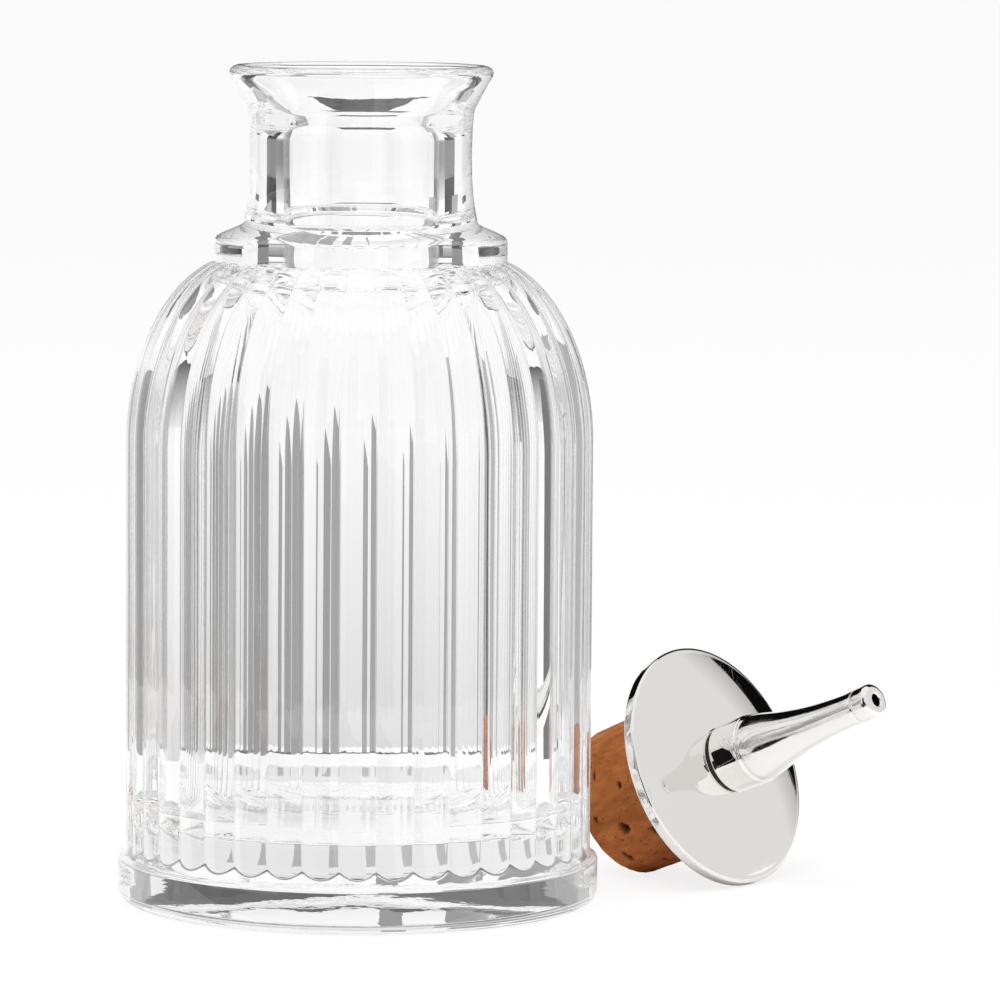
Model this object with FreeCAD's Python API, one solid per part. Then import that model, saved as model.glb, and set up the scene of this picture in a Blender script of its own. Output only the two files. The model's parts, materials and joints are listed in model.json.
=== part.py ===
import FreeCAD, Part
import math
import os

# Bitters bottle: a ribbed glass bottle, standing open, with its pouring stopper lying beside it.
# Millimetres. The bottle's axis is +Z, it stands on the XY plane and its front faces -Y.

# Bottle, outside
foot_radius = 30.05
foot_heel_round = 1.6
foot_side_height = 5.2
foot_brow_round = 0.6
instep_draw_in = 1.25
instep_rise = 2.8
body_radius = 29.1
rib_count = 40
rib_depth = 0.5
rib_turn = 1.2
shoulder_height = 57.5
shoulder_hub = 14.1
shoulder_rise = 23.4
collar_radius = 18.3
collar_side = 3.1
collar_slope = 1.6
neck_foot_radius = 14.5
neck_waist_radius = 13.75
neck_length = 14.0
lip_root_radius = 14.06
lip_radius = 16.4
lip_flare = 4.4
lip_round = 1.2

# Bottle, inside
wall = 4.1
base_thickness = 10.0
floor_dish = 0.8
floor_corner_round = 5.0
bore_radius = 9.75
mouth_radius = 14.2
mouth_round = 0.8
mouth_depth = 8.0
push_up_radius = 22.0
push_up_height = 1.0

# Cork
cork_top_radius = 9.95
cork_tail_radius = 9.65
cork_length = 14.6
cork_tail_round = 0.6

# Metal disc on the cork
disc_radius = 15.7
disc_rim = 1.6
disc_rim_round = 0.25
disc_crown = 2.3

# Brass tube through the stopper
tube_radius = 2.6
tube_bore_radius = 1.6
tube_flange_radius = 4.6
tube_flange = 0.8
tube_thread_length = 5.0

# Seal under the spout
seal_thickness = 0.35
seal_inset = 0.3

# Spout
nozzle_band_radius = 4.5
nozzle_band_length = 4.4
nozzle_foot_round = 0.3
nozzle_crease = 0.2
nozzle_taper_length = 17.35
nozzle_shoulder_reach = 2.5
nozzle_neck_reach = 11.0
nozzle_neck_radius = 2.17
nozzle_neck_waist = 0.1
nozzle_bore_radius = 1.3
bead_radius = 2.25
bead_length = 2.85
bead_step = 0.3
pour_hole_radius = 0.75
pour_hole_depth = 2.0

# Fits
cork_grip_clearance = 0.05
disc_hole_clearance = 0.1
thread_clearance = 0.06
thread_end_clearance = 0.5

# How the stopper lies: plan gap from the foot to the cork's tail, and plan angles from +X
stopper_gap = 2.2
stopper_bearing = 35.7
stopper_heading = -39.7

# Joined solids, and cutters, run past each other by this much out of sight
overlap = 1.0

# Sections of the ribbed body: on its straight part, and up its shoulder
straight_steps = 4
shoulder_steps = 10

# A quarter of an ellipse drawn as one cubic curve has its handles this far along its half axes
ellipse_handle = 0.5523


class Profile:
    """A closed outline of radius and height, drawn step by step and turned about +Z."""

    def __init__(self, radius, height):
        self.start = FreeCAD.Vector(radius, 0, height)
        self.here = self.start
        self.edges = []

    def add(self, edge, end):
        self.edges.append(edge)
        self.here = end
        return self

    def to(self, radius, height):
        """A straight line."""
        end = FreeCAD.Vector(radius, 0, height)
        return self.add(Part.makeLine(self.here, end), end)

    def bow(self, through, radius, height):
        """An arc through a point given as radius and height."""
        end = FreeCAD.Vector(radius, 0, height)
        middle = FreeCAD.Vector(through[0], 0, through[1])
        return self.add(Part.Arc(self.here, middle, end).toShape(), end)

    def round(self, centre, radius, height):
        """A round corner about a centre given as radius and height."""
        hub = FreeCAD.Vector(centre[0], 0, centre[1])
        end = FreeCAD.Vector(radius, 0, height)
        outward = (self.here + end) * 0.5 - hub
        middle = hub + outward.normalize() * hub.distanceToPoint(end)
        return self.add(Part.Arc(self.here, middle, end).toShape(), end)

    def curve(self, *handles):
        """A cubic curve whose handles and end are given as radius and height."""
        poles = [FreeCAD.Vector(radius, 0, height) for radius, height in handles]
        bezier = Part.BezierCurve()
        bezier.setPoles([self.here] + poles)
        return self.add(bezier.toShape(), poles[-1])

    def turned(self):
        """The solid that the closed outline sweeps."""
        self.to(self.start.x, self.start.z)
        face = Part.Face(Part.Wire(self.edges))
        return face.revolve(FreeCAD.Vector(0, 0, 0), FreeCAD.Vector(0, 0, 1), 360)


def ball_radius(reach, rise):
    """Radius of the ball whose cap has the given reach and rise."""
    return (reach ** 2 + rise ** 2) / (2 * rise)


def ball_drop(ball, reach):
    """How far a ball's surface falls from its pole at the given reach."""
    return ball - math.sqrt(ball ** 2 - reach ** 2)


# Heights up the bottle
shoulder_width = body_radius - shoulder_hub


def shoulder_height_at(radius):
    """Height of the shoulder's elliptical crest line where it has the given radius."""
    across = (radius - shoulder_hub) / shoulder_width
    return shoulder_height + shoulder_rise * math.sqrt(1 - across ** 2)


collar_edge_height = shoulder_height_at(collar_radius) + collar_side
collar_top_height = collar_edge_height + collar_slope
lip_root_height = collar_top_height + neck_length
lip_edge_height = lip_root_height + lip_flare
rim_height = lip_edge_height + lip_round
bore_top_height = rim_height - mouth_depth
cavity_radius = body_radius - wall
cavity_top_height = shoulder_height + shoulder_rise - wall
bore_low_height = cavity_top_height + shoulder_hub - bore_radius


def rib_ring(crest_radius, height):
    """One level outline of the body: round ribs that meet in sharp creases."""
    crease_radius = crest_radius * (1 - rib_depth / body_radius)

    def at(step, radius):
        angle = math.radians(rib_turn) + 2 * math.pi * step / rib_count
        return FreeCAD.Vector(radius * math.sin(angle), -radius * math.cos(angle), height)

    ribs = []
    for rib in range(rib_count):
        start = at(rib - 0.5, crease_radius)
        end = at(rib + 0.5, crease_radius)
        ribs.append(Part.Arc(start, at(rib, crest_radius), end).toShape())
    return Part.Wire(ribs)


def ribbed_body():
    """The body and shoulder, from inside the foot to inside the collar."""
    rings = []
    for step in range(straight_steps):
        share = step / straight_steps
        rings.append(rib_ring(body_radius, foot_side_height + share * (shoulder_height - foot_side_height)))
    top_angle = math.acos((collar_radius - overlap - shoulder_hub) / shoulder_width)
    for step in range(shoulder_steps + 1):
        angle = top_angle * step / shoulder_steps
        crest_radius = shoulder_hub + shoulder_width * math.cos(angle)
        rings.append(rib_ring(crest_radius, shoulder_height + shoulder_rise * math.sin(angle)))
    return Part.makeLoft(rings, True, False)


def foot():
    """The round foot, with an instep that slopes into the ribs."""
    brow_radius = foot_radius - foot_brow_round
    brow_height = foot_side_height + foot_brow_round
    outline = Profile(0, 0)
    outline.to(foot_radius - foot_heel_round, 0)
    outline.round((foot_radius - foot_heel_round, foot_heel_round), foot_radius, foot_heel_round)
    outline.to(foot_radius, foot_side_height)
    outline.round((brow_radius, foot_side_height), brow_radius, brow_height)
    outline.to(brow_radius - instep_draw_in, brow_height + instep_rise)
    outline.to(0, brow_height + instep_rise)
    return outline.turned()


def collar_neck_and_lip():
    """The collar, waisted neck and flared lip, with the mouth's funnel sunk into them."""
    funnel_slope = (mouth_depth - mouth_round) / (mouth_radius - bore_radius)
    funnel_end_height = bore_top_height - overlap * funnel_slope
    collar_root_height = shoulder_height_at(collar_radius + overlap)
    waist_height = (collar_top_height + lip_root_height) / 2
    outline = Profile(0, collar_root_height)
    outline.to(collar_radius, collar_root_height)
    outline.to(collar_radius, collar_edge_height)
    outline.to(neck_foot_radius, collar_top_height)
    outline.bow((neck_waist_radius, waist_height), lip_root_radius, lip_root_height)
    outline.to(lip_radius, lip_edge_height)
    outline.round((lip_radius - lip_round, lip_edge_height), lip_radius - lip_round, rim_height)
    mouth_edge = mouth_radius + mouth_round
    outline.to(mouth_edge, rim_height)
    outline.round((mouth_edge, rim_height - mouth_round), mouth_radius, rim_height - mouth_round)
    outline.to(bore_radius - overlap, funnel_end_height)
    outline.to(0, funnel_end_height)
    return outline.turned()


def cavity():
    """The space inside: dished floor, straight wall, domed shoulder and neck bore."""
    floor_radius = cavity_radius - floor_corner_round
    corner_height = base_thickness + floor_corner_round
    side_handle = shoulder_height + ellipse_handle * (shoulder_rise - wall)
    top_handle = shoulder_hub + ellipse_handle * (cavity_radius - shoulder_hub)
    floor_middle_height = base_thickness - floor_dish
    dish_ball = ball_radius(floor_radius, floor_dish)
    half_way = (floor_radius / 2, floor_middle_height + ball_drop(dish_ball, floor_radius / 2))
    outline = Profile(0, floor_middle_height)
    outline.bow(half_way, floor_radius, base_thickness)
    outline.round((floor_radius, corner_height), cavity_radius, corner_height)
    outline.to(cavity_radius, shoulder_height)
    outline.curve(
        (cavity_radius, side_handle),
        (top_handle, cavity_top_height),
        (shoulder_hub, cavity_top_height),
    )
    outline.round((shoulder_hub, bore_low_height), bore_radius, bore_low_height)
    outline.to(bore_radius, bore_top_height + overlap)
    outline.to(0, bore_top_height + overlap)
    return outline.turned()


def push_up():
    """The ball whose cap hollows the underside, so that the bottle stands on a ring."""
    ball = ball_radius(push_up_radius, push_up_height)
    return Part.makeSphere(ball, FreeCAD.Vector(0, 0, push_up_height - ball))


def glass_bottle():
    outside = ribbed_body().fuse([foot(), collar_neck_and_lip()])
    return outside.cut([cavity(), push_up()]).removeSplitter()


# Heights up the stopper, from the joint of cork and disc, with the spout upwards
cork_tail_height = -cork_length
disc_arris_radius = disc_radius - disc_rim_round
crown_ball = ball_radius(disc_arris_radius, disc_crown)


def crown_height_at(radius):
    """Height of the disc's crowned face."""
    return disc_rim + disc_crown - ball_drop(crown_ball, radius)


seat_height = crown_height_at(nozzle_band_radius)
nozzle_foot_height = seat_height + seal_thickness
tube_top_height = nozzle_foot_height + tube_thread_length
band_top_height = nozzle_foot_height + nozzle_band_length
taper_foot_height = band_top_height + nozzle_crease
taper_top_height = taper_foot_height + nozzle_taper_length
nozzle_tip_height = taper_top_height + bead_length
disc_hole_radius = tube_radius + disc_hole_clearance


def cork_stopper():
    bore = tube_radius + cork_grip_clearance
    flange_seat = tube_flange_radius + cork_grip_clearance
    tail_edge = cork_tail_radius - cork_tail_round
    tail_corner_height = cork_tail_height + cork_tail_round
    outline = Profile(bore, 0)
    outline.to(cork_top_radius, 0)
    outline.to(cork_tail_radius, tail_corner_height)
    outline.round((tail_edge, tail_corner_height), tail_edge, cork_tail_height)
    outline.to(flange_seat, cork_tail_height)
    outline.to(flange_seat, cork_tail_height + tube_flange)
    outline.to(bore, cork_tail_height + tube_flange)
    return outline.turned()


def cap_disc():
    middle_radius = (disc_arris_radius + nozzle_band_radius) / 2
    outline = Profile(disc_hole_radius, 0)
    outline.to(disc_arris_radius, 0)
    outline.round((disc_arris_radius, disc_rim_round), disc_radius, disc_rim_round)
    outline.to(disc_radius, disc_rim - disc_rim_round)
    outline.round((disc_arris_radius, disc_rim - disc_rim_round), disc_arris_radius, disc_rim)
    outline.bow((middle_radius, crown_height_at(middle_radius)), nozzle_band_radius, seat_height)
    outline.to(disc_hole_radius, seat_height)
    return outline.turned()


def pour_tube():
    outline = Profile(tube_bore_radius, cork_tail_height)
    outline.to(tube_flange_radius, cork_tail_height)
    outline.to(tube_flange_radius, cork_tail_height + tube_flange)
    outline.to(tube_radius, cork_tail_height + tube_flange)
    outline.to(tube_radius, tube_top_height)
    outline.to(tube_bore_radius, tube_top_height)
    return outline.turned()


def nozzle_seal():
    outline = Profile(disc_hole_radius, seat_height)
    outline.to(nozzle_band_radius - seal_inset, seat_height)
    outline.to(nozzle_band_radius - seal_inset, nozzle_foot_height)
    outline.to(disc_hole_radius, nozzle_foot_height)
    return outline.turned()


def spout_nozzle():
    """The spout: band, crease, waisted taper and bead, with its socket and pouring hole."""
    socket_radius = tube_radius + thread_clearance
    socket_end_height = tube_top_height + thread_end_clearance
    foot_edge = nozzle_band_radius - nozzle_foot_round
    foot_corner_height = nozzle_foot_height + nozzle_foot_round
    bead_corner_height = nozzle_tip_height - bead_radius + pour_hole_radius
    hole_end_height = nozzle_tip_height - pour_hole_depth
    outline = Profile(socket_radius, nozzle_foot_height)
    outline.to(foot_edge, nozzle_foot_height)
    outline.round((foot_edge, foot_corner_height), nozzle_band_radius, foot_corner_height)
    outline.to(nozzle_band_radius, band_top_height - nozzle_crease)
    outline.to(nozzle_band_radius - nozzle_crease, band_top_height)
    outline.to(nozzle_band_radius, taper_foot_height)
    outline.curve(
        (nozzle_band_radius, taper_foot_height + nozzle_shoulder_reach),
        (nozzle_neck_radius - nozzle_neck_waist, taper_top_height - nozzle_neck_reach),
        (nozzle_neck_radius, taper_top_height),
    )
    outline.to(bead_radius, taper_top_height + bead_step)
    outline.to(bead_radius, bead_corner_height)
    outline.round((pour_hole_radius, bead_corner_height), pour_hole_radius, nozzle_tip_height)
    outline.to(pour_hole_radius, hole_end_height)
    outline.to(nozzle_bore_radius, hole_end_height - nozzle_bore_radius + pour_hole_radius)
    outline.to(nozzle_bore_radius, socket_end_height)
    outline.to(socket_radius, socket_end_height)
    return outline.turned()


def resting_place():
    """The stopper's pose on the table: it lies on its disc's lower rim and its cork's tail edge.

    Both edges are rounds about a hub at some reach from the axis and some height up it, so the
    table is the line that touches both rounds.
    """
    rim_reach = disc_arris_radius
    rim_hub_height = disc_rim_round
    tail_reach = cork_tail_radius - cork_tail_round
    tail_hub_height = cork_tail_height + cork_tail_round
    along = rim_hub_height - tail_hub_height
    across = rim_reach - tail_reach
    round_difference = disc_rim_round - cork_tail_round
    tilt = math.atan2(across, along) + math.asin(round_difference / math.hypot(along, across))
    rest_height = rim_reach * math.cos(tilt) + disc_rim_round - rim_hub_height * math.sin(tilt)

    heading = math.radians(stopper_heading)
    bearing = math.radians(stopper_bearing)
    axis = FreeCAD.Vector(
        math.cos(tilt) * math.cos(heading), math.cos(tilt) * math.sin(heading), math.sin(tilt)
    )
    tail_distance = foot_radius + stopper_gap + cork_tail_radius
    tail = FreeCAD.Vector(tail_distance * math.cos(bearing), tail_distance * math.sin(bearing), 0)
    place = tail + axis * cork_length
    place.z = rest_height
    return FreeCAD.Placement(place, FreeCAD.Rotation(FreeCAD.Vector(0, 0, 1), axis))


resting = resting_place()
pieces = {"glass_bottle": glass_bottle()}
for build in (cork_stopper, cap_disc, pour_tube, nozzle_seal, spout_nozzle):
    piece = build()
    piece.Placement = resting
    pieces[build.__name__] = piece

os.makedirs("parts", exist_ok=True)
for name, shape in pieces.items():
    shape.exportStep(f"parts/{name}.step")
    print(name, "solids", len(shape.Solids), "valid", shape.isValid(), "mm3", round(shape.Volume, 2))
print("rim height", round(rim_height, 3), "bore", round(bore_low_height, 3), "to", round(bore_top_height, 3))
print("stopper axis", resting.Rotation.multVec(FreeCAD.Vector(0, 0, 1)), "from", resting.Base)
print("brimful ml", round(cavity().Volume / 1000, 1))
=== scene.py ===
import json
import math

import bmesh
import bpy
import numpy as np
from mathutils import Matrix, Vector


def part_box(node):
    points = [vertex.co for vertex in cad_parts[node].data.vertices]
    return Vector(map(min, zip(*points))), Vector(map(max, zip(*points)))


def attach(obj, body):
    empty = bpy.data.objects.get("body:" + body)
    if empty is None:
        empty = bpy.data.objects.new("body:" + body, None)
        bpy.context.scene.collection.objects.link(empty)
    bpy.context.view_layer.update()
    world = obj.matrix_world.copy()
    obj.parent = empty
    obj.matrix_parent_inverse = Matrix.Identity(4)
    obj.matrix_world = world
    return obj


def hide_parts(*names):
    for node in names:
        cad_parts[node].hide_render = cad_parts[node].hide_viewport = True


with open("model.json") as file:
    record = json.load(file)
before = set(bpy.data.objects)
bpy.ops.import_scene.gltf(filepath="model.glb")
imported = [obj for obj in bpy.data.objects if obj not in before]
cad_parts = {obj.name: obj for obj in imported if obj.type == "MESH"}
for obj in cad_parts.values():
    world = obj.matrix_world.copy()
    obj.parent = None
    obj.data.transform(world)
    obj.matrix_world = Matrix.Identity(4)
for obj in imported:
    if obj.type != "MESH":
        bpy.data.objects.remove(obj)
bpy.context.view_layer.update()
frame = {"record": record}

# Camera
# A long lens a little above the table, at the photograph's viewing angle and turned by its slight tilt.

focal_pixels = 6356.0
image_pixels = 1000
sight_distance = 0.79299
sight_elevation = math.radians(5.6472)
sight_target = Vector((0.017514, 0.0, 0.050212))
sight_roll = math.radians(0.4032)

view = bpy.data.cameras.new("camera")
view.sensor_width = 36.0
view.lens = view.sensor_width * focal_pixels / image_pixels
view.clip_start = 0.01
view.clip_end = 60.0
camera = bpy.data.objects.new("camera", view)
bpy.context.scene.collection.objects.link(camera)
bpy.context.scene.camera = camera
outward = Vector((0.0, -math.cos(sight_elevation), math.sin(sight_elevation)))
level_right = Vector((1.0, 0.0, 0.0))
level_up = outward.cross(level_right)
turned_right = level_right * math.cos(sight_roll) + level_up * math.sin(sight_roll)
turned_up = level_up * math.cos(sight_roll) - level_right * math.sin(sight_roll)
camera.matrix_world = (
    Matrix.Translation(sight_target + outward * sight_distance)
    @ Matrix((turned_right, turned_up, outward)).transposed().to_4x4()
)
bpy.context.scene.view_settings.view_transform = "Standard"
bpy.context.scene.cycles.max_bounces = 32
bpy.context.scene.cycles.glossy_bounces = 24
bpy.context.scene.cycles.transmission_bounces = 32


# Studio
# A pale floor, a white world, two soft lamps, and light and dark cards round the bottle and behind it, as set
# up to photograph glass and polished metal. Only what is seen through glass or in metal shows the cards.

def add(tree, kind, feeds=None, **settings):
    """A node with its settings, each input named in feeds given a value or another node's output."""
    node = tree.nodes.new(kind)
    for name, value in settings.items():
        setattr(node, name, value)
    for name, value in (feeds or {}).items():
        if isinstance(value, bpy.types.NodeSocket):
            tree.links.new(value, node.inputs[name])
        else:
            node.inputs[name].default_value = value
    return node


def math_of(tree, operation, *values):
    """The output of a maths node, with its inputs in order."""
    return add(tree, "ShaderNodeMath", dict(enumerate(values)), operation=operation).outputs[0]


def seen_directly(tree):
    """One for a ray from the camera or by way of metal or glass, zero for light that falls on a surface."""
    rays = add(tree, "ShaderNodeLightPath").outputs
    through = math_of(tree, "MAXIMUM", rays["Is Glossy Ray"], rays["Is Transmission Ray"])
    return math_of(tree, "MAXIMUM", rays["Is Camera Ray"], through)


def empty_material(name):
    """A material with an empty node tree."""
    material = bpy.data.materials.new(name)
    material.use_nodes = True
    material.node_tree.nodes.clear()
    return material


def link_mesh(name, mesh):
    """An object in the scene for a mesh."""
    piece = bpy.data.objects.new(name, mesh)
    bpy.context.scene.collection.objects.link(piece)
    return piece


white = (1.0, 1.0, 1.0, 1.0)
ambient_light = 0.80
world = bpy.data.worlds.new("white_world")
world.use_nodes = True
nodes = world.node_tree
nodes.nodes.clear()
lit = math_of(nodes, "MULTIPLY_ADD", seen_directly(nodes), 1.0 - ambient_light, ambient_light)
sky = add(nodes, "ShaderNodeBackground", {"Color": white, "Strength": lit})
add(nodes, "ShaderNodeOutputWorld", {"Surface": sky.outputs[0]})
bpy.context.scene.world = world

floor_reach = 20.0
floor_drop = 0.00005
floor_glow = 0.82
floor_colour = (0.95, 0.95, 0.95, 1.0)
floor_segments = 64
floor_form = bmesh.new()
bmesh.ops.create_circle(floor_form, cap_ends=True, segments=floor_segments, radius=floor_reach)
bmesh.ops.translate(floor_form, verts=floor_form.verts, vec=(0.0, 0.0, -floor_drop))
floor_mesh = bpy.data.meshes.new("floor")
floor_form.to_mesh(floor_mesh)
floor_form.free()
floor_paint = empty_material("pale_floor")
nodes = floor_paint.node_tree
matt = add(nodes, "ShaderNodeBsdfDiffuse", {"Color": floor_colour})
glow = add(nodes, "ShaderNodeEmission", {"Color": white, "Strength": 1.0})
rays = add(nodes, "ShaderNodeLightPath").outputs
plainly = math_of(nodes, "MAXIMUM", rays["Is Camera Ray"], rays["Is Transmission Ray"])
share = math_of(nodes, "MULTIPLY", plainly, floor_glow)
mixed = add(nodes, "ShaderNodeMixShader", {0: share, 1: matt.outputs[0], 2: glow.outputs[0]})
add(nodes, "ShaderNodeOutputMaterial", {"Surface": mixed.outputs[0]})
floor_mesh.materials.append(floor_paint)
floor = link_mesh("floor", floor_mesh)


def card_object(name, form):
    """Cards that give off the grey that their corners carry, and that only metal and glass show."""
    mesh = bpy.data.meshes.new(name)
    form.to_mesh(mesh)
    form.free()
    material = empty_material(name)
    tree = material.node_tree
    tone = add(tree, "ShaderNodeAttribute", attribute_name="tone").outputs["Fac"]
    light = add(tree, "ShaderNodeEmission", {"Color": white, "Strength": tone})
    add(tree, "ShaderNodeOutputMaterial", {"Surface": light.outputs[0]})
    mesh.materials.append(material)
    cards = link_mesh(name, mesh)
    cards.visible_camera = False
    cards.visible_diffuse = False
    cards.visible_shadow = False
    return cards


def card_form():
    """An empty set of cards whose corners can carry a grey."""
    form = bmesh.new()
    form.verts.layers.float.new("tone")
    return form


def card_corner(form, place, tone):
    """A corner of a card with its grey."""
    corner = form.verts.new(place)
    corner[form.verts.layers.float["tone"]] = tone
    return corner


def stand_card(form, radius, bearings, levels, tones, turns=(0,), fade=1.0, lean=0.0):
    """A curved upright card between two bearings in degrees, with a grey at its foot and at its top.

    At its last bearing a share of those greys is left, the fade, and its top is higher by the lean."""
    steps = 16
    for turn in turns:
        column = None
        for step in range(steps + 1):
            part = step / steps
            angle = math.radians(turn + bearings[0] + (bearings[1] - bearings[0]) * part)
            ends = []
            for level, tone in zip((levels[0], levels[1] + lean * part), tones):
                place = (radius * math.cos(angle), radius * math.sin(angle), level)
                ends.append(card_corner(form, place, tone * (1.0 + (fade - 1.0) * part)))
            if column:
                form.faces.new((column[0], ends[0], ends[1], column[1]))
            column = ends


def lay_card(form, sides, near, far, tone):
    """A flat card between two sides, with a near and a far edge that are each given as depth and height."""
    places = [(sides[0], *near), (sides[1], *near), (sides[1], *far), (sides[0], *far)]
    form.faces.new([card_corner(form, place, tone) for place in places])


quarters = (0, 90, 180, 270)
away_from_stopper = quarters[1:]
bar_radius = 0.085
bar_foot = 0.0055
fill_radius = 0.125
flag_radius = 0.130
shade_radius = 0.132
table_gap = 0.0002
stripe_gap = 0.0003
bars = dict(
    radius=bar_radius, bearings=(7, 38), levels=(bar_foot, 0.047), tones=(0.33, 0.33),
    turns=away_from_stopper, lean=0.018)
bar_edges = dict(
    radius=bar_radius, bearings=(38, 48), levels=(bar_foot, 0.065), tones=(0.48, 0.48),
    turns=away_from_stopper, lean=0.004)
right_bar = dict(radius=bar_radius, bearings=(48, 62), levels=(bar_foot, 0.072), tones=(0.42, 0.42))
pale_fill = dict(
    radius=fill_radius, bearings=(-34, 20), levels=(0.0, 0.048), tones=(0.74, 1.0), turns=away_from_stopper)
left_flag = dict(radius=flag_radius, bearings=(159, 168), levels=(0.0, 0.046), tones=(0.20, 0.20))
right_flag = dict(radius=flag_radius, bearings=(11, 18), levels=(0.0, 0.088), tones=(0.14, 0.14))
low_flags = dict(
    radius=flag_radius, bearings=(44, 56), levels=(0.0, 0.050), tones=(0.04, 0.04), turns=quarters)
middle_flags = dict(
    radius=flag_radius, bearings=(34, 56), levels=(0.050, 0.076), tones=(0.03, 0.05), turns=quarters)
high_flags = dict(
    radius=flag_radius, bearings=(34, 56), levels=(0.076, 0.200), tones=(0.25, 0.25), turns=quarters)
left_shade = dict(radius=shade_radius, bearings=(146, 178), levels=(0.058, 0.096), tones=(0.85, 0.06))
right_shade = dict(radius=shade_radius, bearings=(2, 34), levels=(0.062, 0.096), tones=(0.85, 0.06))
lip_shade = dict(sides=(-0.026, 0.026), near=(0.212, 0.0244), far=(0.300, 0.0153), tone=0.08)
foot_shade = dict(sides=(-0.020, 0.020), near=(0.050, 0.0106), far=(0.072, 0.0075), tone=0.13)
# The two cards laid on the table behind the bottle are painted shade: grey sheets seen only through the
# glass's base, standing in for the shadow the bottle does not cast.
base_shade = dict(sides=(-0.030, 0.030), near=(0.036, table_gap), far=(0.060, table_gap), tone=0.84)
base_shade_stripe = dict(sides=(-0.0125, -0.0055), near=(0.043, stripe_gap), far=(0.057, stripe_gap), tone=0.48)
glass_form = card_form()
for card in (
    bars, bar_edges, right_bar, pale_fill, left_flag, right_flag, low_flags, middle_flags, high_flags,
    left_shade, right_shade,
):
    stand_card(glass_form, **card)
for card in (lip_shade, foot_shade, base_shade, base_shade_stripe):
    lay_card(glass_form, **card)
glass_cards = card_object("glass_cards", glass_form)
glass_cards.visible_glossy = False

metal_form = card_form()
lights_radius = 0.24
lights_split = 0.102
lights_top = 0.340
# Each of the metal's lights has its bearings, its grey and its fade.
lights_low = (
    ((0, 29), 0.84, 1.0), ((29, 38), 0.84, 0.65), ((38, 75), 0.004, 1.0), ((75, 137), 1.0, 1.0),
    ((137, 165), 0.35, 1.0), ((165, 199), 0.01, 1.0), ((199, 254), 0.90, 1.0), ((254, 282), 0.03, 1.0),
    ((282, 360), 0.90, 0.93),
)
lights_high = (
    ((0, 29), 0.84, 1.0), ((29, 38), 0.84, 0.65), ((38, 145), 0.004, 1.0), ((145, 216), 0.85, 1.1),
    ((216, 360), 0.95, 0.88),
)
for lights, levels in ((lights_low, (0.0, lights_split)), (lights_high, (lights_split, lights_top))):
    for bearings, tone, fade in lights:
        stand_card(metal_form, lights_radius, bearings, levels, (tone, tone), fade=fade)
band_flag = dict(radius=0.235, bearings=(236, 266), levels=(0.0, 0.240), tones=(0.01, 0.01))
table_flag = dict(sides=(-0.20, 0.022), near=(-0.20, table_gap), far=(-0.031, table_gap), tone=0.01)
stand_card(metal_form, **band_flag)
lay_card(metal_form, **table_flag)
metal_cards = card_object("metal_cards", metal_form)
metal_cards.visible_transmission = False

lamp_target = Vector((0.03, 0.0, 0.03))
lamp_width = 0.7


def soft_lamp(name, place, power):
    """A square lamp that lights matt surfaces softly, and that metal and glass don't show."""
    lamp = bpy.data.lights.new(name, "AREA")
    lamp.size = lamp_width
    lamp.energy = power
    light = bpy.data.objects.new(name, lamp)
    bpy.context.scene.collection.objects.link(light)
    light.location = place
    light.rotation_euler = (lamp_target - Vector(place)).to_track_quat("-Z", "Y").to_euler()
    light.visible_glossy = False
    light.visible_transmission = False


soft_lamp("key_lamp", place=(-0.20, -0.45, 1.00), power=6.0)
soft_lamp("fill_lamp", place=(0.8, -0.3, 0.55), power=1.2)


# Glass bottle
# One piece of clear pressed glass: a round foot, a body of 40 upright ribs, a collar, a waisted neck and a
# flared lip. Its outline is turned about the axis, and the ribs and a slight ripple come with the turning.

millimetre = 0.001


class Outline:
    """Half of a piece's section, drawn step by step as rings of radius and height in millimetres."""

    def __init__(self, radius, height):
        self.rings = [(radius, height, 0.0, 0.0)]

    def to(self, radius, height, steps=1, ribs=(0.0, 0.0), slips=(0.0, 0.0)):
        """A straight run, with the share of the ribs and of their slip at its start and end."""
        start = self.rings[-1]
        for step in range(1, steps + 1):
            part = step / steps
            self.rings.append((
                start[0] + (radius - start[0]) * part,
                start[1] + (height - start[1]) * part,
                ribs[0] + (ribs[1] - ribs[0]) * part,
                slips[0] + (slips[1] - slips[0]) * part,
            ))

    def bend(self, corner, radius, height, steps):
        """A quarter of an ellipse that leaves and arrives along the sides of its corner."""
        start = self.rings[-1]
        for step in range(1, steps + 1):
            turn = math.pi / 2 * step / steps
            leave = 1.0 - math.sin(turn)
            arrive = 1.0 - math.cos(turn)
            self.rings.append((
                corner[0] + (start[0] - corner[0]) * leave + (radius - corner[0]) * arrive,
                corner[1] + (start[1] - corner[1]) * leave + (height - corner[1]) * arrive,
                0.0, 0.0,
            ))

    def curve(self, first, second, radius, height, steps):
        """A Bezier curve with two handles."""
        ends = (self.rings[-1][:2], first, second, (radius, height))
        for step in range(1, steps + 1):
            t = step / steps
            weights = ((1 - t) ** 3, 3 * t * (1 - t) ** 2, 3 * t * t * (1 - t), t ** 3)
            self.rings.append((
                sum(weight * point[0] for weight, point in zip(weights, ends)),
                sum(weight * point[1] for weight, point in zip(weights, ends)),
                0.0, 0.0,
            ))

    def mesh(self, name):
        """The outline as a chain of points in metres, with what each ring takes of the ribs."""
        chain = bpy.data.meshes.new(name)
        points = [(ring[0] * millimetre, 0.0, ring[1] * millimetre) for ring in self.rings]
        links = [(index, index + 1) for index in range(len(points) - 1)]
        chain.from_pydata(points, links, [])
        for share, column in (("rib", 2), ("slip", 3)):
            layer = chain.attributes.new(share, "FLOAT", "POINT")
            layer.data.foreach_set("value", [ring[column] for ring in self.rings])
        return chain


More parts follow.
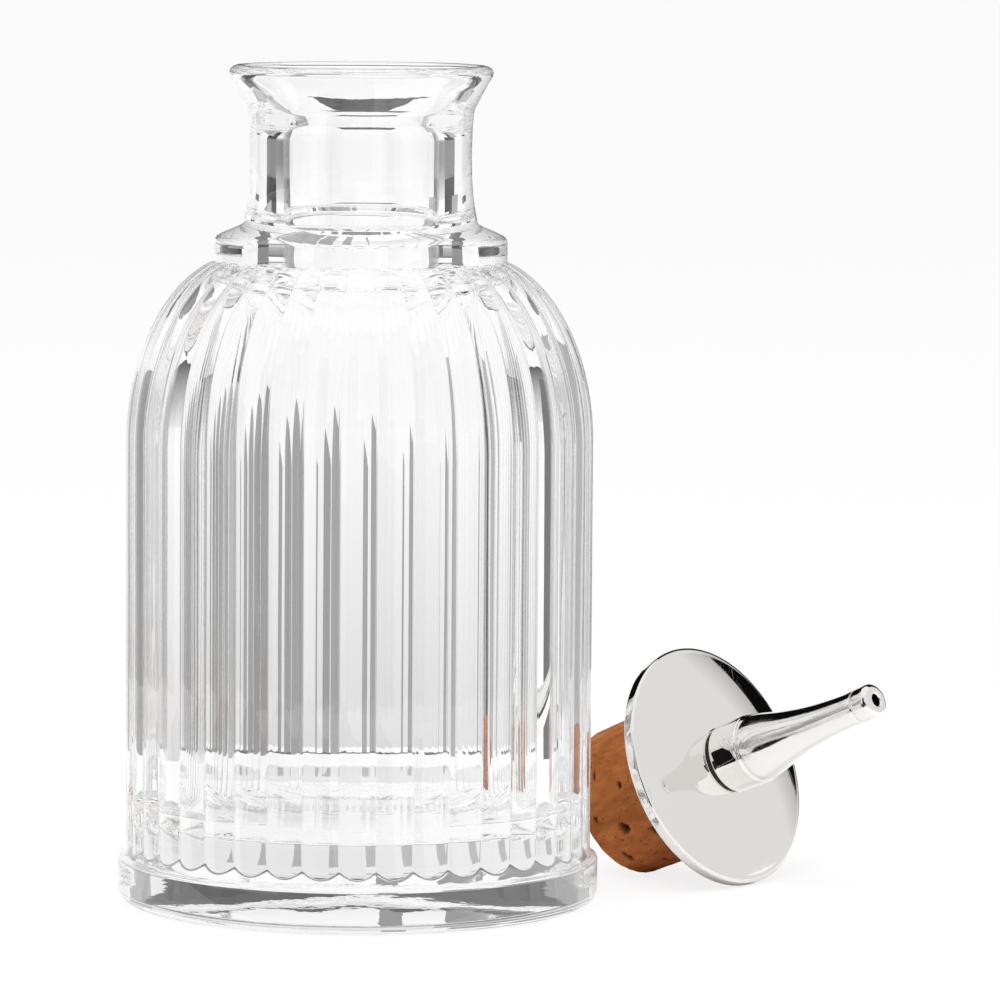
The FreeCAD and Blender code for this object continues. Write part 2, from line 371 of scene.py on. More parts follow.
def turning_tree():
    """Nodes that turn an outline about the Z axis, with ribs that meet in creases and with a ripple."""
    tree = bpy.data.node_groups.new("turned_piece", "GeometryNodeTree")
    for name, kind in (
        ("Outline", "NodeSocketGeometry"),
        ("Segments", "NodeSocketInt"),
        ("Ribs", "NodeSocketInt"),
        ("Rib Share", "NodeSocketFloat"),
        ("Rib Turn", "NodeSocketFloat"),
        ("Crease Climb", "NodeSocketFloat"),
        ("Crease Gather", "NodeSocketFloat"),
        ("Ripple", "NodeSocketFloat"),
        ("Ripple Scale", "NodeSocketFloat"),
        ("Material", "NodeSocketMaterial"),
    ):
        tree.interface.new_socket(name, in_out="INPUT", socket_type=kind)
    tree.interface.new_socket("Piece", in_out="OUTPUT", socket_type="NodeSocketGeometry")
    given = add(tree, "NodeGroupInput").outputs
    rings = add(tree, "GeometryNodeAttributeDomainSize", {0: given["Outline"]}).outputs["Point Count"]
    grid = add(tree, "GeometryNodeMeshGrid", {
        "Size X": 1.0, "Size Y": 1.0,
        "Vertices X": math_of(tree, "ADD", given["Segments"], 1.0), "Vertices Y": rings,
    })
    grid_place = add(tree, "GeometryNodeInputPosition").outputs[0]
    across = add(tree, "ShaderNodeSeparateXYZ", {0: grid_place}).outputs
    round_share = math_of(tree, "ADD", across["X"], 0.5)
    last_ring = math_of(tree, "SUBTRACT", rings, 1.0)
    outline_share = math_of(tree, "ADD", across["Y"], 0.5)
    ring = math_of(tree, "ROUND", math_of(tree, "MULTIPLY", outline_share, last_ring))

    def at_ring(kind, value):
        """A value of the outline at each point's ring."""
        feeds = {"Geometry": given["Outline"], "Value": value, "Index": ring}
        return add(tree, "GeometryNodeSampleIndex", feeds, data_type=kind).outputs[0]

    def ring_value(name):
        """A number that the outline's points carry."""
        return add(tree, "GeometryNodeInputNamedAttribute", {"Name": name}, data_type="FLOAT").outputs[0]

    spot = at_ring("FLOAT_VECTOR", add(tree, "GeometryNodeInputPosition").outputs[0])
    half = add(tree, "ShaderNodeSeparateXYZ", {0: spot}).outputs
    count = math_of(tree, "MULTIPLY", round_share, given["Ribs"])
    nearest = math_of(tree, "ROUND", count)
    even = math_of(tree, "SUBTRACT", count, nearest)
    bunch = math_of(tree, "SINE", math_of(tree, "MULTIPLY", even, 2 * math.pi))
    offset = math_of(tree, "MULTIPLY_ADD", bunch, given["Crease Gather"], even)
    # The bow is zero along a rib's ridge and one in the crease, half a rib away.
    bow = math_of(tree, "MULTIPLY", math_of(tree, "POWER", math_of(tree, "ABSOLUTE", offset), 2.0), 4.0)
    drop = math_of(tree, "MULTIPLY", math_of(tree, "MULTIPLY", bow, given["Rib Share"]), half["X"])
    rib_drop = math_of(tree, "MULTIPLY", drop, at_ring("FLOAT", ring_value("rib")))
    climb = math_of(tree, "MULTIPLY", drop, given["Crease Climb"])
    height = math_of(tree, "MULTIPLY_ADD", climb, at_ring("FLOAT", ring_value("slip")), half["Z"])
    radius = math_of(tree, "SUBTRACT", half["X"], rib_drop)
    share = math_of(tree, "DIVIDE", math_of(tree, "ADD", nearest, offset), given["Ribs"])
    angle = math_of(tree, "MULTIPLY_ADD", share, 2 * math.pi, given["Rib Turn"])
    inward = math_of(tree, "MULTIPLY", math_of(tree, "COSINE", angle), -1.0)
    target = add(tree, "ShaderNodeCombineXYZ", {
        0: math_of(tree, "MULTIPLY", radius, math_of(tree, "SINE", angle)),
        1: math_of(tree, "MULTIPLY", radius, inward),
        2: height,
    })
    turned = add(tree, "GeometryNodeSetPosition", {0: grid.outputs[0], "Position": target.outputs[0]})
    weld = 0.000001
    closed = add(tree, "GeometryNodeMergeByDistance", {0: turned.outputs[0], "Distance": weld})
    noise = add(tree, "ShaderNodeTexNoise", {"Scale": given["Ripple Scale"], "Detail": 1.0})
    swing = math_of(tree, "MULTIPLY", math_of(tree, "SUBTRACT", noise.outputs[0], 0.5), given["Ripple"])
    push = add(tree, "ShaderNodeVectorMath", {
        0: add(tree, "GeometryNodeInputNormal").outputs[0], "Scale": swing,
    }, operation="SCALE")
    rippled = add(tree, "GeometryNodeSetPosition", {0: closed.outputs[0], "Offset": push.outputs[0]})
    settled = add(tree, "GeometryNodeInputPosition").outputs[0]
    kept = add(tree, "GeometryNodeStoreNamedAttribute", {
        0: rippled.outputs[0], "Name": "own_place", "Value": settled,
    }, data_type="FLOAT_VECTOR", domain="POINT")
    smooth = add(tree, "GeometryNodeSetShadeSmooth", {0: kept.outputs[0]})
    real = add(tree, "GeometryNodeRealizeInstances", {0: smooth.outputs[0]})
    painted = add(tree, "GeometryNodeSetMaterial", {0: real.outputs[0], "Material": given["Material"]})
    add(tree, "NodeGroupOutput", {0: painted.outputs[0]})
    return tree


turning = turning_tree()


def turned_piece(name, outline, material, placing=None, **choices):
    """A closed piece turned from its outline by the turning nodes and put in its place."""
    piece = link_mesh(name, outline.mesh(name + "_outline"))
    values = {
        "Ribs": 1, "Rib Share": 0.0, "Rib Turn": 0.0, "Crease Climb": 0.0, "Crease Gather": 0.0,
        "Ripple": 0.0, "Ripple Scale": 100.0, "Material": material,
    }
    values.update({key.replace("_", " ").title(): value for key, value in choices.items()})
    modifier = piece.modifiers.new("turning", "NODES")
    modifier.node_group = turning
    for socket in turning.interface.items_tree:
        if socket.name in values:
            modifier[socket.identifier] = values[socket.name]
    graph = bpy.context.evaluated_depsgraph_get()
    mesh = bpy.data.meshes.new_from_object(
        piece.evaluated_get(graph), preserve_all_data_layers=True, depsgraph=graph)
    piece.modifiers.clear()
    piece.data = mesh
    form = bmesh.new()
    form.from_mesh(mesh)
    bmesh.ops.recalc_face_normals(form, faces=form.faces)
    form.to_mesh(mesh)
    form.free()
    if placing:
        mesh.transform(placing)
    mesh.name = name
    return piece


def own_place(tree):
    """Where a point lies in its piece's own axes, whichever way the piece lies."""
    return add(tree, "ShaderNodeAttribute", attribute_name="own_place").outputs["Vector"]


def stretched_noise(tree, place, scale, detail=2.0, roughness=0.5):
    """Noise over a place that is scaled along each axis."""
    scaled = add(tree, "ShaderNodeVectorMath", {0: place, 1: scale}, operation="MULTIPLY")
    feeds = {"Vector": scaled.outputs[0], "Scale": 1.0, "Detail": detail, "Roughness": roughness}
    return add(tree, "ShaderNodeTexNoise", feeds).outputs[0]


def ranged(tree, value, low, high, new_low, new_high):
    """A value's range mapped to another, held at its ends."""
    feeds = {"Value": value, "From Min": low, "From Max": high, "To Min": new_low, "To Max": new_high}
    return add(tree, "ShaderNodeMapRange", feeds).outputs[0]


glass = empty_material("clear_pressed_glass")
nodes = glass.node_tree
place = own_place(nodes)
drawn_lines = stretched_noise(nodes, place, (520.0, 520.0, 14.0))
smears = stretched_noise(nodes, place, (90.0, 90.0, 50.0), 4.0)
bump = add(nodes, "ShaderNodeBump", {"Strength": 0.05, "Distance": 0.0002, "Height": drawn_lines})
surface = add(nodes, "ShaderNodeBsdfPrincipled", {
    "Base Color": white,
    "Roughness": ranged(nodes, smears, 0.45, 0.75, 0.0, 0.03),
    "IOR": 1.5,
    "Transmission Weight": 1.0,
    "Normal": bump.outputs[0],
})
add(nodes, "ShaderNodeOutputMaterial", {"Surface": surface.outputs[0]})

foot_radius = 30.05
heel_round = 1.6
foot_side = 5.2
brow_round = 0.6
brow_ease = 0.1
instep_slope = 1.25 / 2.8
body_radius = 29.1
rib_count = 40
rib_depth = 0.5
rib_turn = math.radians(1.2)
crease_gather = 0.07
crease_hold = 0.4
crease_run = 6.0
crease_left = 0.9
shoulder_height = 57.5
shoulder_hub = 14.1
shoulder_rise = 23.4
shoulder_spare = 0.004
seam_out = 0.02
seam_up = 0.05
seam_end = 0.35
collar_radius = 18.3
collar_side = 3.1
collar_round = 0.6
collar_round_in = 0.8
collar_round_up = 0.32
collar_bevel = 1.6
neck_foot = 14.5
neck_waist = 13.75
neck_length = 14.0
neck_round = 0.6
neck_round_out = 0.5
neck_round_down = 0.21
neck_draft = 0.03
waist_pull = 0.1
waist_low = 4.6
waist_high = 9.6
lip_root = 14.06
lip_root_round = 0.3
lip_root_out = 0.25
lip_root_up = 0.48
lip_radius = 16.4
lip_flare = 4.4
lip_edge_in = 0.2
lip_edge_down = 0.38
lip_edge_round = 0.25
rim_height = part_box("glass_bottle")[1][2] / millimetre
rim_round = 1.3
mouth_radius = 14.2
mouth_ease = 0.1
mouth_round = 0.8
funnel_depth = 8.0
funnel_end_out = 0.6
funnel_end_up = 0.97
bore_radius = 9.75
bore_round = 1.1
bore_foot = 81.15
cavity_radius = 25.0
cavity_top = 76.8
cavity_bow = 20.12
cavity_fall = 68.16
floor_height = 10.0
floor_round = 5.0
floor_dish = 0.8
push_up = 1.0
push_up_radius = 22.0
push_up_round = 0.6
dish_steps = 8
shoulder_steps = 24
glass_segments = 520
glass_ripple = 0.00004
glass_ripple_scale = 140.0

brow_height = foot_side + brow_round
brow_radius = foot_radius - brow_round
junction_height = brow_height + (brow_radius - body_radius) / instep_slope
shoulder_width = body_radius - shoulder_hub
collar_across = math.acos((collar_radius - shoulder_hub) / shoulder_width)
collar_base = shoulder_height + shoulder_rise * math.sin(collar_across)
collar_edge = collar_base + collar_side
neck_base = collar_edge + collar_bevel
lip_base = neck_base + neck_length
lip_edge = lip_base + lip_flare
bore_top = rim_height - funnel_depth
floor_flat = cavity_radius - floor_round
ribbed = (1.0, 1.0)

bottle_outline = Outline(0.0, push_up)
for step in range(1, dish_steps + 1):
    part = step / dish_steps
    bottle_outline.to(push_up_radius * part, push_up * (1.0 - part ** 2))
bottle_outline.bend(
    (push_up_radius + push_up_round, 0.0), push_up_radius + 2 * push_up_round, 0.0, steps=2)
bottle_outline.to(foot_radius - heel_round, 0.0, steps=2)
bottle_outline.bend((foot_radius, 0.0), foot_radius, heel_round, steps=7)
bottle_outline.to(foot_radius, foot_side, steps=2)
bottle_outline.bend((foot_radius, brow_height - brow_ease), brow_radius, brow_height, steps=5)
bottle_outline.to(body_radius, junction_height, steps=4, ribs=(0.0, 1.0), slips=(0.0, 1.0))
bottle_outline.to(
    body_radius, junction_height + crease_hold, steps=2, ribs=ribbed, slips=(1.0, crease_left))
bottle_outline.to(
    body_radius, junction_height + crease_run, steps=6, ribs=ribbed, slips=(crease_left, 0.0))
bottle_outline.to(body_radius, shoulder_height, steps=9, ribs=ribbed)
for step in range(1, shoulder_steps + 1):
    turn = (collar_across - shoulder_spare) * step / shoulder_steps
    radius = shoulder_hub + shoulder_width * math.cos(turn)
    height = shoulder_height + shoulder_rise * math.sin(turn)
    bottle_outline.to(radius, height, ribs=ribbed)
bottle_outline.to(collar_radius + seam_out, collar_base + seam_up)
bottle_outline.to(collar_radius, collar_base + seam_end, steps=2)
bottle_outline.to(collar_radius, collar_edge - collar_round, steps=3)
bottle_outline.bend(
    (collar_radius, collar_edge), collar_radius - collar_round_in, collar_edge + collar_round_up, steps=5)
bottle_outline.to(neck_foot + neck_round_out, neck_base - neck_round_down, steps=4)
bottle_outline.bend((neck_foot, neck_base), neck_foot - neck_draft, neck_base + neck_round, steps=4)
bottle_outline.curve(
    (neck_waist - waist_pull, neck_base + waist_low), (neck_waist - waist_pull, neck_base + waist_high),
    lip_root, lip_base - lip_root_round, steps=12)
bottle_outline.bend((lip_root, lip_base), lip_root + lip_root_out, lip_base + lip_root_up, steps=4)
bottle_outline.to(lip_radius - lip_edge_in, lip_edge - lip_edge_down, steps=4)
bottle_outline.bend((lip_radius, lip_edge), lip_radius, lip_edge + lip_edge_round, steps=4)
bottle_outline.bend((lip_radius, rim_height), lip_radius - rim_round, rim_height, steps=7)
bottle_outline.bend(
    (mouth_radius + mouth_ease, rim_height), mouth_radius, rim_height - mouth_round, steps=6)
bottle_outline.to(bore_radius + funnel_end_out, bore_top + funnel_end_up, steps=4)
bottle_outline.bend((bore_radius, bore_top), bore_radius, bore_top - bore_round, steps=5)
bottle_outline.to(bore_radius, bore_foot, steps=5)
bottle_outline.bend((bore_radius, cavity_top), shoulder_hub, cavity_top, steps=9)
bottle_outline.curve(
    (cavity_bow, cavity_top), (cavity_radius, cavity_fall), cavity_radius, shoulder_height, steps=18)
bottle_outline.to(cavity_radius, floor_height + floor_round, steps=6)
bottle_outline.bend((cavity_radius, floor_height), floor_flat, floor_height, steps=9)
for step in range(1, dish_steps + 1):
    part = 1.0 - step / dish_steps
    bottle_outline.to(floor_flat * part, floor_height - floor_dish * (1.0 - part ** 2))

bottle = turned_piece(
    "pressed_glass_bottle", bottle_outline, glass, segments=glass_segments, ribs=rib_count,
    rib_share=rib_depth / body_radius, rib_turn=rib_turn, crease_climb=1.0 / instep_slope,
    crease_gather=crease_gather, ripple=glass_ripple, ripple_scale=glass_ripple_scale)
bottle.visible_shadow = False
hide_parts("glass_bottle")
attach(bottle, "bottle")


# Cork
# A tapered natural cork plug with open pits, cut from bark. The tube's flange presses it up against the
# disc.

turn_joint = next(joint for joint in frame["record"]["behaviour"]["joints"] if joint["name"] == "nozzle_turn")
stopper_axis = Vector(turn_joint["axis"])
stopper_place = (
    Matrix.Translation(Vector(turn_joint["pos_m"]))
    @ Vector((0.0, 0.0, 1.0)).rotation_difference(stopper_axis).to_matrix().to_4x4()
)


def two_tone(tree, share, first, second):
    """A colour between two, by a share."""
    return add(tree, "ShaderNodeMix", {0: share, 6: first, 7: second}, data_type="RGBA").outputs[2]


bark_dark = (0.300, 0.083, 0.016, 1.0)
bark_light = (0.600, 0.200, 0.052, 1.0)
pit_colour = (0.030, 0.013, 0.006, 1.0)
bark = empty_material("natural_cork")
nodes = bark.node_tree
place = own_place(nodes)
blotches = stretched_noise(nodes, place, (160.0, 160.0, 110.0), 3.0, 0.6)
streaks = stretched_noise(nodes, place, (500.0, 900.0, 260.0), 3.0, 0.6)
blend = math_of(nodes, "MULTIPLY_ADD", streaks, 0.55, math_of(nodes, "MULTIPLY", blotches, 0.45))
bark_tone = add(nodes, "ShaderNodeValToRGB", {0: blend})
bark_tone.color_ramp.elements[0].position = 0.34
bark_tone.color_ramp.elements[0].color = bark_dark
bark_tone.color_ramp.elements[1].position = 0.66
bark_tone.color_ramp.elements[1].color = bark_light
cells = add(nodes, "ShaderNodeTexVoronoi", {"Vector": place, "Scale": 1400.0}, feature="F1")
pores = ranged(nodes, cells.outputs["Distance"], 0.10, 0.28, 1.0, 0.0)
scattered = ranged(nodes, stretched_noise(nodes, place, (420.0, 420.0, 420.0), 1.0), 0.47, 0.6, 0.0, 1.0)
specks = math_of(nodes, "MULTIPLY", pores, scattered)
pit_mask = add(nodes, "ShaderNodeAttribute", attribute_name="pit").outputs["Fac"]
hollow = math_of(nodes, "MAXIMUM", pit_mask, math_of(nodes, "MULTIPLY", specks, 0.7))
tone = two_tone(nodes, hollow, bark_tone.outputs[0], pit_colour)
grain = math_of(nodes, "SUBTRACT", streaks, math_of(nodes, "MULTIPLY", specks, 0.8))
bump = add(nodes, "ShaderNodeBump", {"Strength": 0.5, "Distance": 0.00025, "Height": grain})
surface = add(nodes, "ShaderNodeBsdfPrincipled", {
    "Base Color": tone,
    "Roughness": ranged(nodes, streaks, 0.3, 0.7, 0.9, 0.72),
    "Specular IOR Level": 0.25,
    "Normal": bump.outputs[0],
})
add(nodes, "ShaderNodeOutputMaterial", {"Surface": surface.outputs[0]})

cork_wide = 9.95
cork_slim = 9.65
cork_length = 14.6
cork_arris = 0.12
cork_round = 0.6
cork_hole = 2.65
flange_hole = 4.65
flange_depth = 0.85
cork_segments = 360
cork_ripple = 0.00018
cork_ripple_scale = 900.0
cork_outline = Outline(cork_hole, 0.0)
cork_outline.to(cork_wide - cork_arris, 0.0, steps=18)
cork_outline.bend((cork_wide, 0.0), cork_wide, -cork_arris, steps=3)
cork_outline.to(cork_slim, -(cork_length - cork_round), steps=84)
cork_outline.bend((cork_slim, -cork_length), cork_slim - cork_round, -cork_length, steps=6)
cork_outline.to(flange_hole, -cork_length, steps=26)
cork_outline.to(flange_hole, flange_depth - cork_length, steps=3)
cork_outline.to(cork_hole, flange_depth - cork_length, steps=4)
cork_outline.to(cork_hole, 0.0, steps=8)
cork = turned_piece(
    "pitted_cork", cork_outline, bark, stopper_place, segments=cork_segments, ripple=cork_ripple,
    ripple_scale=cork_ripple_scale)

pit_wall = 0.35
pit_margin = 0.7
top_margin = 0.3
ragged_coarse = 0.14
ragged_fine = 0.09
# Each pit has its bearing in degrees, its height, half its width round the cork and along it, and its depth.
side_pits = (
    (-103.3, -9.1, 0.95, 0.85, 1.1),
    (-77.3, -12.0, 1.3, 0.45, 0.6),
    (-135.5, -7.0, 0.6, 0.35, 0.4),
    (-92.0, -4.8, 0.9, 0.8, 0.6),
    (-118.0, -12.6, 0.5, 0.3, 0.35),
    (-58.0, -8.6, 0.7, 0.4, 0.4),
    (-150.0, -11.0, 0.8, 0.3, 0.4),
    (20.0, -9.5, 1.4, 0.6, 0.8),
    (48.0, -4.2, 0.9, 0.5, 0.6),
    (75.0, -11.6, 1.1, 0.4, 0.6),
    (110.0, -6.4, 1.5, 0.5, 0.8),
    (160.0, -3.6, 0.9, 0.4, 0.5),
    (-20.0, -12.4, 0.8, 0.5, 0.5),
)
points = np.empty(len(cork.data.vertices) * 3)
cork.data.attributes["own_place"].data.foreach_get("vector", points)
points = points.reshape(-1, 3) / millimetre
reach = np.hypot(points[:, 0], points[:, 1])
angles = np.degrees(np.arctan2(points[:, 1], points[:, 0]))
on_side = (reach > cork_slim - pit_margin) & (points[:, 2] < -top_margin)
depths = np.zeros(len(points))
darkness = np.zeros(len(points))
for angle, height, half_round, half_long, depth in side_pits:
    across = np.radians((angles - angle + 180.0) % 360.0 - 180.0) * cork_wide
    along = points[:, 2] - height
    bearing = np.arctan2(along / half_long, across / half_round)
    coarse = ragged_coarse * np.sin(3.0 * bearing + angle)
    fine = ragged_fine * np.sin(7.0 * bearing + 2.0 * angle)
    ragged = 1.0 + coarse + fine
    edge = np.hypot(across / half_round, along / half_long) / ragged
    sunk = np.clip((1.0 - edge) / pit_wall, 0.0, 1.0) * on_side
    depths = np.maximum(depths, depth * sunk)
    darkness = np.maximum(darkness, sunk)
mask = cork.data.attributes.new("pit", "FLOAT", "POINT")
mask.data.foreach_set("value", darkness)
for vertex, depth, point, distance in zip(cork.data.vertices, depths, points, reach):
    if depth > 0.0:
        inward = Vector((-point[0], -point[1], 0.0)) / distance
        vertex.co += stopper_place.to_3x3() @ inward * depth * millimetre
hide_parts("cork_stopper")
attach(cork, "stopper")


# Disc
# A polished, slightly domed metal disc with a rolled edge, clamped between the cork and the spout.

def scratch_group():
    """Shader nodes for a handled metal: fine scratches that cross, and soft smears."""
    tree = bpy.data.node_groups.new("fine_scratches", "ShaderNodeTree")
    tree.interface.new_socket("Place", in_out="INPUT", socket_type="NodeSocketVector")
    tree.interface.new_socket("Scratches", in_out="OUTPUT", socket_type="NodeSocketFloat")
    tree.interface.new_socket("Smears", in_out="OUTPUT", socket_type="NodeSocketFloat")
    given = add(tree, "NodeGroupInput").outputs[0]
    lines = []
    for turn in (0.4, 1.5, 2.5):
        tipped = add(tree, "ShaderNodeVectorRotate", {"Vector": given, "Angle": turn}, rotation_type="Z_AXIS")
        noise = stretched_noise(tree, tipped.outputs[0], (90.0, 2600.0, 800.0), 1.0)
        lines.append(ranged(tree, noise, 0.69, 0.76, 0.0, 1.0))
    crossing = math_of(tree, "MAXIMUM", math_of(tree, "MAXIMUM", lines[0], lines[1]), lines[2])
    smears = stretched_noise(tree, given, (170.0, 170.0, 170.0), 4.0, 0.6)
    add(tree, "NodeGroupOutput", {"Scratches": crossing, "Smears": smears})
    return tree


scratches = scratch_group()
disc_colour = (0.86, 0.84, 0.82, 1.0)
polish = empty_material("polished_disc_metal")
nodes = polish.node_tree
marks = add(nodes, "ShaderNodeGroup", {"Place": own_place(nodes)}, node_tree=scratches).outputs
wear = math_of(nodes, "MULTIPLY_ADD", marks["Scratches"], 0.06,
               ranged(nodes, marks["Smears"], 0.4, 0.7, 0.025, 0.06))
bump = add(nodes, "ShaderNodeBump", {"Strength": 0.03, "Distance": 0.00005, "Height": marks["Scratches"]})
surface = add(nodes, "ShaderNodeBsdfPrincipled", {
    "Base Color": disc_colour,
    "Metallic": 1.0,
    "Roughness": wear,
    "Normal": bump.outputs[0],
})
add(nodes, "ShaderNodeOutputMaterial", {"Surface": surface.outputs[0]})

disc_radius = 15.7
disc_rim = 1.6
disc_crown = 2.3
disc_arris = 0.25
disc_hole = 2.7
roll_inset = 0.65
roll_start = 0.35
face_steps = 44
disc_segments = 256
band_radius = 4.5
crown_edge = disc_radius - disc_arris
crown_ball = (crown_edge ** 2 + disc_crown ** 2) / (2 * disc_crown)


def crown_height(radius):
    """Height of the disc's domed face over its back."""
    return disc_rim + disc_crown - crown_ball + math.sqrt(crown_ball ** 2 - radius ** 2)


seat_height = crown_height(band_radius)
roll_radius = disc_radius - roll_inset
roll_out = (disc_radius, disc_rim - 0.05)
roll_in = (disc_radius - 0.25, disc_rim + 0.06)
disc_outline = Outline(disc_hole, 0.0)
disc_outline.to(crown_edge, 0.0, steps=10)
disc_outline.bend((disc_radius, 0.0), disc_radius, disc_arris, steps=4)
disc_outline.to(disc_radius, disc_rim - roll_start, steps=3)
disc_outline.curve(roll_out, roll_in, roll_radius, crown_height(roll_radius), steps=8)
for step in range(1, face_steps + 1):
    radius = roll_radius + (band_radius - roll_radius) * step / face_steps
    disc_outline.to(radius, crown_height(radius))
disc_outline.to(disc_hole, seat_height, steps=2)
disc_outline.to(disc_hole, 0.0, steps=3)
disc = turned_piece("domed_disc", disc_outline, polish, stopper_place, segments=disc_segments)
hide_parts("cap_disc")
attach(disc, "stopper")


# Pour tube
# A turned brass stem through cork and disc. Its flange holds the cork from below, and the spout screws
# onto its top.

brass_bright = (0.78, 0.55, 0.22, 1.0)
brass_dull = (0.46, 0.29, 0.11, 1.0)
brass = empty_material("turned_brass")
nodes = brass.node_tree
place = own_place(nodes)
rings = stretched_noise(nodes, place, (40.0, 40.0, 5200.0), 2.0)
tarnish = stretched_noise(nodes, place, (300.0, 300.0, 300.0), 3.0)
bump = add(nodes, "ShaderNodeBump", {"Strength": 0.15, "Distance": 0.00005, "Height": rings})
surface = add(nodes, "ShaderNodeBsdfPrincipled", {
    "Base Color": two_tone(nodes, tarnish, brass_bright, brass_dull),
    "Metallic": 1.0,
    "Roughness": ranged(nodes, tarnish, 0.3, 0.7, 0.22, 0.4),
    "Normal": bump.outputs[0],
})
add(nodes, "ShaderNodeOutputMaterial", {"Surface": surface.outputs[0]})

tube_radius = 2.6
tube_bore = 1.6
tube_bevel = 0.2
tube_segments = 72
flange_radius = 4.6
flange_thickness = 0.8
flange_round = 0.15
seal_thickness = 0.35
thread_reach = 5.0
nozzle_foot = seat_height + seal_thickness
tube_top = nozzle_foot + thread_reach
tube_outline = Outline(tube_bore, -cork_length)
tube_outline.to(flange_radius - flange_round, -cork_length, steps=4)
tube_outline.bend(
    (flange_radius, -cork_length), flange_radius, flange_round - cork_length, steps=3)
tube_outline.to(flange_radius, flange_thickness - cork_length, steps=2)
tube_outline.to(tube_radius, flange_thickness - cork_length, steps=3)
tube_outline.to(tube_radius, tube_top - tube_bevel, steps=20)
tube_outline.to(tube_radius - tube_bevel, tube_top)
tube_outline.to(tube_bore, tube_top, steps=2)
tube_outline.to(tube_bore, -cork_length, steps=20)
tube = turned_piece("brass_pour_tube", tube_outline, brass, stopper_place, segments=tube_segments)
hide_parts("pour_tube")
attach(tube, "stopper")


# Seal
# A thin black rubber ring in the seam between disc and spout. It turns with the spout.

rubber_black = (0.012, 0.011, 0.010, 1.0)
rubber_grey = (0.045, 0.040, 0.034, 1.0)
rubber = empty_material("black_rubber")
nodes = rubber.node_tree
place = own_place(nodes)
bloom = stretched_noise(nodes, place, (900.0, 900.0, 900.0), 3.0)
bump = add(nodes, "ShaderNodeBump", {"Strength": 0.3, "Distance": 0.00005, "Height": bloom})
surface = add(nodes, "ShaderNodeBsdfPrincipled", {
    "Base Color": two_tone(nodes, bloom, rubber_black, rubber_grey),
    "Roughness": ranged(nodes, bloom, 0.3, 0.7, 0.5, 0.7),
    "Normal": bump.outputs[0],
})
add(nodes, "ShaderNodeOutputMaterial", {"Surface": surface.outputs[0]})

seal_inset = 0.3
seal_round = 0.1
seal_segments = 96
seal_radius = band_radius - seal_inset
seal_outline = Outline(disc_hole, seat_height)
seal_outline.to(seal_radius - seal_round, seat_height, steps=3)
seal_outline.bend((seal_radius, seat_height), seal_radius, seat_height + seal_round, steps=3)
seal_outline.to(seal_radius, nozzle_foot - seal_round)
seal_outline.bend((seal_radius, nozzle_foot), seal_radius - seal_round, nozzle_foot, steps=3)
seal_outline.to(disc_hole, nozzle_foot, steps=3)
seal_outline.to(disc_hole, seat_height, steps=2)
seal = turned_piece("rubber_seal", seal_outline, rubber, stopper_place, segments=seal_segments)
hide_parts("nozzle_seal")
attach(seal, "seal")


# Spout
# A turned and polished metal spout: a knob band, a waisted taper and a bead with the pouring hole. It screws
# onto the tube.

band_height = 4.4
band_foot_round = 0.3
band_top_round = 0.15
band_top_in = 0.12
band_top_up = 0.06
groove_height = 0.2
groove_in = 0.2
groove_down = 0.08
groove_end_in = 0.18
groove_end_up = 0.1
taper_in = 0.16
taper_waist = 0.1
taper_spare = 0.12
taper_length = 17.35
shoulder_reach = 2.5
neck_reach = 11.0
neck_radius = 2.17
neck_step = 0.06
bead_radius = 2.25
bead_length = 2.85
bead_foot = 0.12
bead_foot_end = 0.55
bead_round = 1.0
pour_hole = 0.75
pour_hole_round = 0.4
pour_hole_lip = 0.45
pour_hole_length = 2.0
spout_bore = 1.3
thread_gap = 0.06
thread_spare = 0.5
spout_segments = 160
thread_radius = tube_radius + thread_gap
band_top = nozzle_foot + band_height
taper_foot = band_top + groove_height
taper_top = taper_foot + taper_length
spout_tip = taper_top + bead_length
thread_end = tube_top + thread_spare

spout_colour = (0.86, 0.845, 0.825, 1.0)
# Inside the pouring hole the metal is painted near black: painted shade in the hole, not a colour of the
# metal.
hole_shade_colour = (0.02, 0.018, 0.016, 1.0)
hole_margin = 0.1
hole_lip = 0.3
hole_reach = (spout_bore + hole_margin) * millimetre
hole_top = (spout_tip - hole_lip) * millimetre
bright = empty_material("polished_spout_metal")
nodes = bright.node_tree
place = own_place(nodes)
marks = add(nodes, "ShaderNodeGroup", {"Place": place}, node_tree=scratches).outputs
climb = add(nodes, "ShaderNodeSeparateXYZ", {0: place}).outputs["Z"]
on_taper = math_of(nodes, "GREATER_THAN", climb, taper_foot * millimetre)
streaks = stretched_noise(nodes, place, (2300.0, 2300.0, 60.0), 2.0, 0.6)
brushed = math_of(nodes, "MULTIPLY", streaks, on_taper)
bump = add(nodes, "ShaderNodeBump", {"Strength": 0.16, "Distance": 0.00006, "Height": brushed})
wear = math_of(nodes, "MULTIPLY_ADD", marks["Scratches"], 0.08,
               ranged(nodes, marks["Smears"], 0.4, 0.7, 0.06, 0.14))
haze = math_of(nodes, "MULTIPLY", wear, math_of(nodes, "MULTIPLY_ADD", on_taper, 0.7, 0.3))
# Points within the hole's reach and below its lip take the painted shade.
across = add(nodes, "ShaderNodeVectorMath", {0: place, 1: (1.0, 1.0, 0.0)}, operation="MULTIPLY")
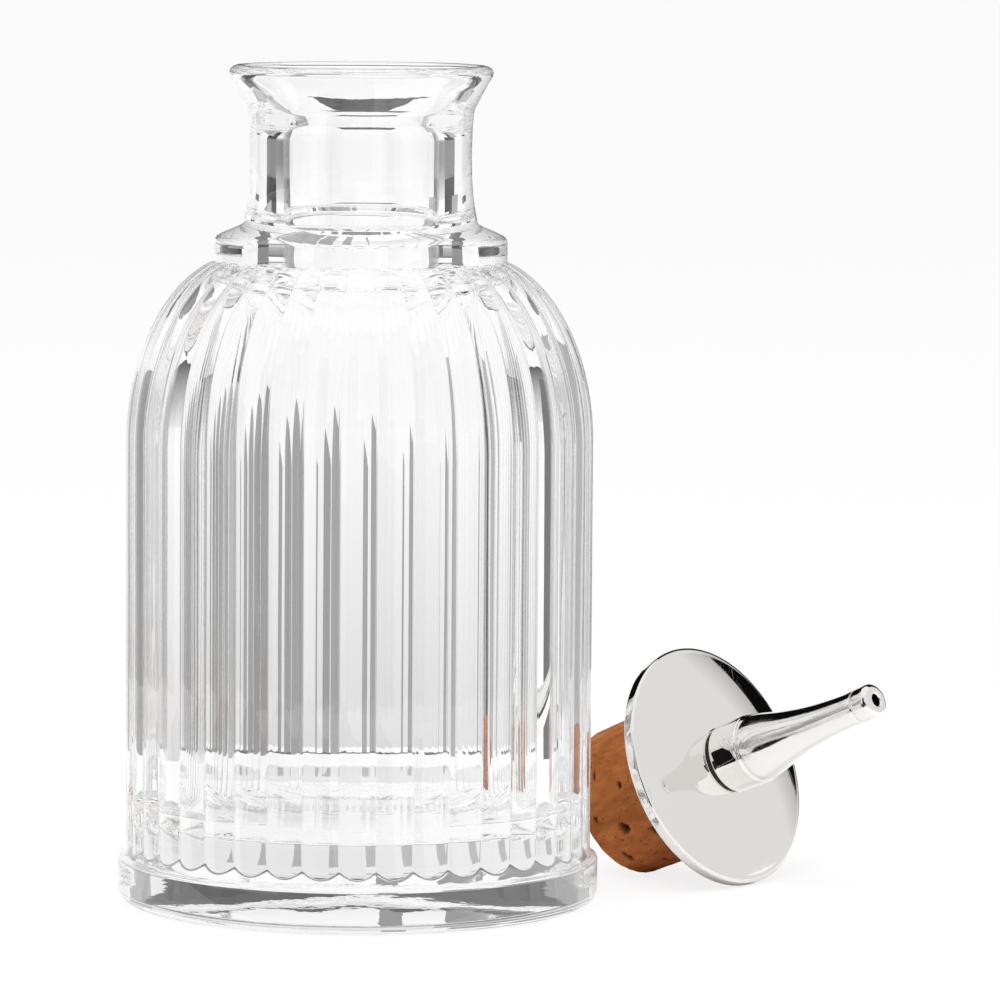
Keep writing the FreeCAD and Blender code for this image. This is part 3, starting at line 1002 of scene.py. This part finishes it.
reach = add(nodes, "ShaderNodeVectorMath", {0: across.outputs[0]}, operation="LENGTH").outputs["Value"]
within = math_of(nodes, "LESS_THAN", reach, hole_reach)
below = math_of(nodes, "LESS_THAN", climb, hole_top)
hole_shade = math_of(nodes, "MULTIPLY", within, below)
surface = add(nodes, "ShaderNodeBsdfPrincipled", {
    "Base Color": two_tone(nodes, hole_shade, spout_colour, hole_shade_colour),
    "Metallic": 1.0,
    "Roughness": haze,
    "Normal": bump.outputs[0],
})
add(nodes, "ShaderNodeOutputMaterial", {"Surface": surface.outputs[0]})

spout_outline = Outline(thread_radius, nozzle_foot)
spout_outline.to(band_radius - band_foot_round, nozzle_foot, steps=3)
spout_outline.bend((band_radius, nozzle_foot), band_radius, nozzle_foot + band_foot_round, steps=4)
spout_outline.to(band_radius, band_top - band_top_round, steps=6)
spout_outline.bend((band_radius, band_top), band_radius - band_top_in, band_top + band_top_up, steps=3)
spout_outline.bend(
    (band_radius - groove_in, taper_foot - groove_down), band_radius - groove_end_in,
    taper_foot + groove_end_up, steps=3)
spout_outline.curve(
    (band_radius - taper_in, taper_foot + shoulder_reach),
    (neck_radius - taper_waist, taper_top - neck_reach),
    neck_radius, taper_top - taper_spare, steps=36)
spout_outline.bend((neck_radius, taper_top), neck_radius - neck_step, taper_top + neck_step, steps=2)
spout_outline.bend(
    (bead_radius, taper_top + bead_foot), bead_radius, taper_top + bead_foot_end, steps=5)
spout_outline.to(bead_radius, spout_tip - bead_round, steps=3)
spout_outline.bend((bead_radius, spout_tip), pour_hole + pour_hole_lip, spout_tip, steps=9)
spout_outline.bend((pour_hole, spout_tip), pour_hole, spout_tip - pour_hole_round, steps=5)
spout_outline.to(pour_hole, spout_tip - pour_hole_length, steps=3)
spout_outline.to(spout_bore, spout_tip - pour_hole_length)
spout_outline.to(spout_bore, thread_end, steps=8)
spout_outline.to(thread_radius, thread_end, steps=2)
spout_outline.to(thread_radius, nozzle_foot, steps=4)
spout = turned_piece("turned_spout", spout_outline, bright, stopper_place, segments=spout_segments)
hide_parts("spout_nozzle")
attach(spout, "nozzle")
